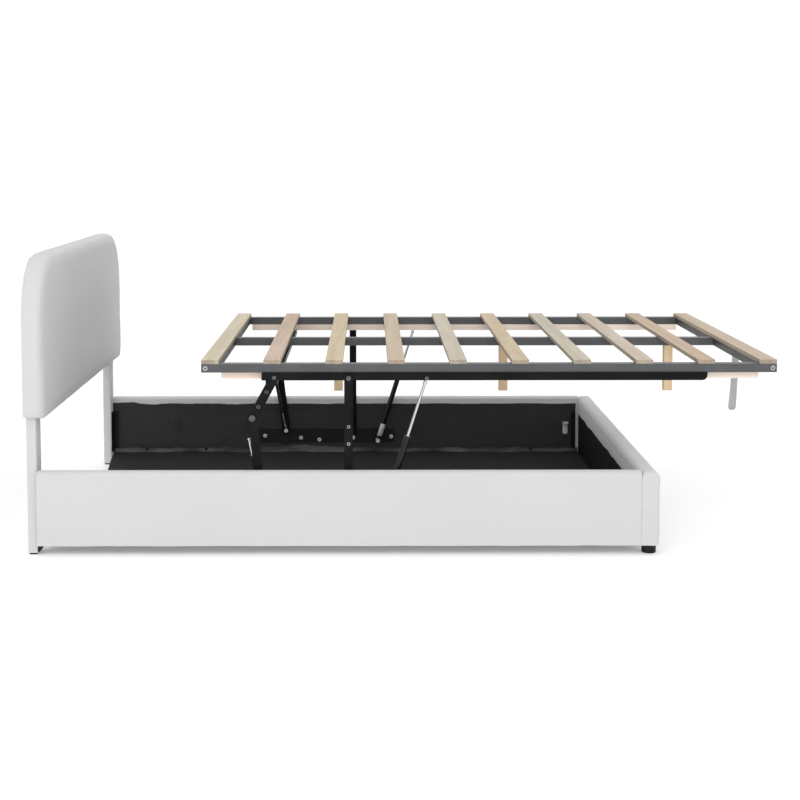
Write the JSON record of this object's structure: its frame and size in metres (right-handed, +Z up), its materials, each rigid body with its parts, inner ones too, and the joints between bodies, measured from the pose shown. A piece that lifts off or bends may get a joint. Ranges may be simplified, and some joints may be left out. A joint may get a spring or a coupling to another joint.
{
  "type": "ottoman storage bed",
  "caption": "Upholstered storage bed with a slatted platform that rises level over the box on swinging links and gas struts.",
  "frame": {"origin": "on the floor, under the middle of the raised bed's length and on its centre line", "axes": "+X from the headboard to the foot end, +Y to the sleeper's left, +Z up; the platform is raised"},
  "size_m": [2.603, 1.66, 1.04],
  "materials": {
    "timber": "sawn softwood and board, hidden under the upholstery",
    "upholstery": "pale grey woven upholstery fabric over thin foam",
    "lining": "black non-woven lining, lightly wrinkled",
    "floor_board": "thin board with a black non-woven face",
    "plastic": "black moulded plastic",
    "bracket_paint": "black powder coat",
    "zinc": "bright zinc plate",
    "mechanism_paint": "black powder coat, satin",
    "strut_paint": "black gloss paint",
    "strut_rod": "ground steel",
    "frame_paint": "slate grey powder coat",
    "slat_wood": "planed pale poplar, unfinished",
    "batten_wood": "planed pale softwood, unfinished",
    "webbing": "pale grey woven webbing"
  },
  "bodies": {
    "base": {"headboard_core": "timber", "headboard_cover": "upholstery", "headboard_back_cloth": "lining", "headboard_bolts": "zinc", "headboard_legs": "timber", "leg_covers": "upholstery", "leg_glides": "plastic", "side_panel_core_left": "timber", "side_panel_core_right": "timber", "side_panel_cover_left": "upholstery", "side_panel_cover_right": "upholstery", "side_panel_liners": "lining", "foot_panel_core": "timber", "foot_panel_cover": "upholstery", "foot_panel_liner": "lining", "foot_glides": "plastic", "corner_brackets": "bracket_paint", "corner_bolts": "mechanism_paint", "rest_brackets": "zinc", "rest_bracket_screws": "zinc", "storage_floor": "floor_board", "floor_ledges": "bracket_paint", "floor_feet": "plastic", "base_plates": "mechanism_paint", "base_plate_bolts": "zinc", "base_pivot_pins": "zinc"},
    "front_links": {"front_links": "mechanism_paint", "front_link_bolts": "zinc"},
    "platform": {"side_rails": "frame_paint", "end_rails": "frame_paint", "middle_rail": "frame_paint", "rail_end_plugs": "plastic", "frame_bolts": "zinc", "slat_01": "slat_wood", "slat_02": "slat_wood", "slat_03": "slat_wood", "slat_04": "slat_wood", "slat_05": "slat_wood", "slat_06": "slat_wood", "slat_07": "slat_wood", "slat_08": "slat_wood", "slat_09": "slat_wood", "slat_10": "slat_wood", "slat_screws": "zinc", "upper_rails": "mechanism_paint", "rail_pins": "mechanism_paint", "cross_bar": "mechanism_paint", "battens": "batten_wood", "centre_legs": "batten_wood", "pull_strap": "webbing"},
    "rear_links": {"rear_links": "mechanism_paint", "knee_pins": "mechanism_paint"},
    "rear_levers": {"rear_levers": "mechanism_paint", "lever_studs": "mechanism_paint"},
    "small_strut_lower": {"small_strut_cylinder_right": "strut_paint", "small_strut_rod_left": "strut_rod"},
    "small_strut_upper": {"small_strut_rod_right": "strut_rod", "small_strut_cylinder_left": "strut_paint"},
    "main_strut_cylinders": {"main_strut_cylinders": "strut_paint"},
    "main_strut_rods": {"main_strut_rods": "strut_rod"}
  },
  "joints": [
    {"name": "lift", "type": "hinge", "parent": "base", "child": "front_links", "pos_m": [-0.1865, 0, 0.112], "axis": [0, 1, 0], "range_deg": [-84, 0], "stiffness_Nm_per_rad": 60, "springref_deg": 28.65, "deforming": ["pull_strap"]},
    {"name": "platform_level", "type": "hinge", "parent": "front_links", "child": "platform", "pos_m": [-0.1865, 0, 0.612], "axis": [0, 1, 0], "range_deg": [-0.5, 84.5]},
    {"name": "rear_link_swing", "type": "hinge", "parent": "base", "child": "rear_links", "pos_m": [-0.4855, 0, 0.149], "axis": [0, 1, 0], "range_deg": [-95.89, 0.5]},
    {"name": "rear_lever_swing", "type": "hinge", "parent": "rear_links", "child": "rear_levers", "pos_m": [-0.521, 0, 0.471], "axis": [0, 1, 0], "range_deg": [-0.5, 7.55]},
    {"name": "small_strut_swing", "type": "hinge", "parent": "base", "child": "small_strut_lower", "pos_m": [-0.4855, 0, 0.149], "axis": [0, 1, 0], "range_deg": [-97.13, 0.5]},
    {"name": "small_strut_stroke", "type": "slide", "parent": "small_strut_lower", "child": "small_strut_upper", "axis": [-0.1947, 0, 0.9809], "range_m": [-0.001, 0.00487]},
    {"name": "main_strut_swing", "type": "hinge", "parent": "base", "child": "main_strut_cylinders", "pos_m": [-0.0755, 0, 0.103], "axis": [0, 1, 0], "range_deg": [-98.25, 0.5]},
    {"name": "main_strut_stroke", "type": "slide", "parent": "main_strut_cylinders", "child": "main_strut_rods", "axis": [0.3015, 0, 0.9535], "range_m": [-0.18944, 0.001]}
  ],
  "couplings": [
    {"joint": "platform_level", "follows": "lift", "ratio": -1},
    {"joint": "rear_link_swing", "follows": "lift", "ratio": 1.1356},
    {"joint": "rear_lever_swing", "follows": "lift", "ratio": -0.083898},
    {"joint": "small_strut_swing", "follows": "lift", "ratio": 1.1504},
    {"joint": "small_strut_stroke", "follows": "lift", "m_per_rad": -0.0026374},
    {"joint": "main_strut_swing", "follows": "lift", "ratio": 1.1636},
    {"joint": "main_strut_stroke", "follows": "lift", "m_per_rad": 0.12853}
  ]
}
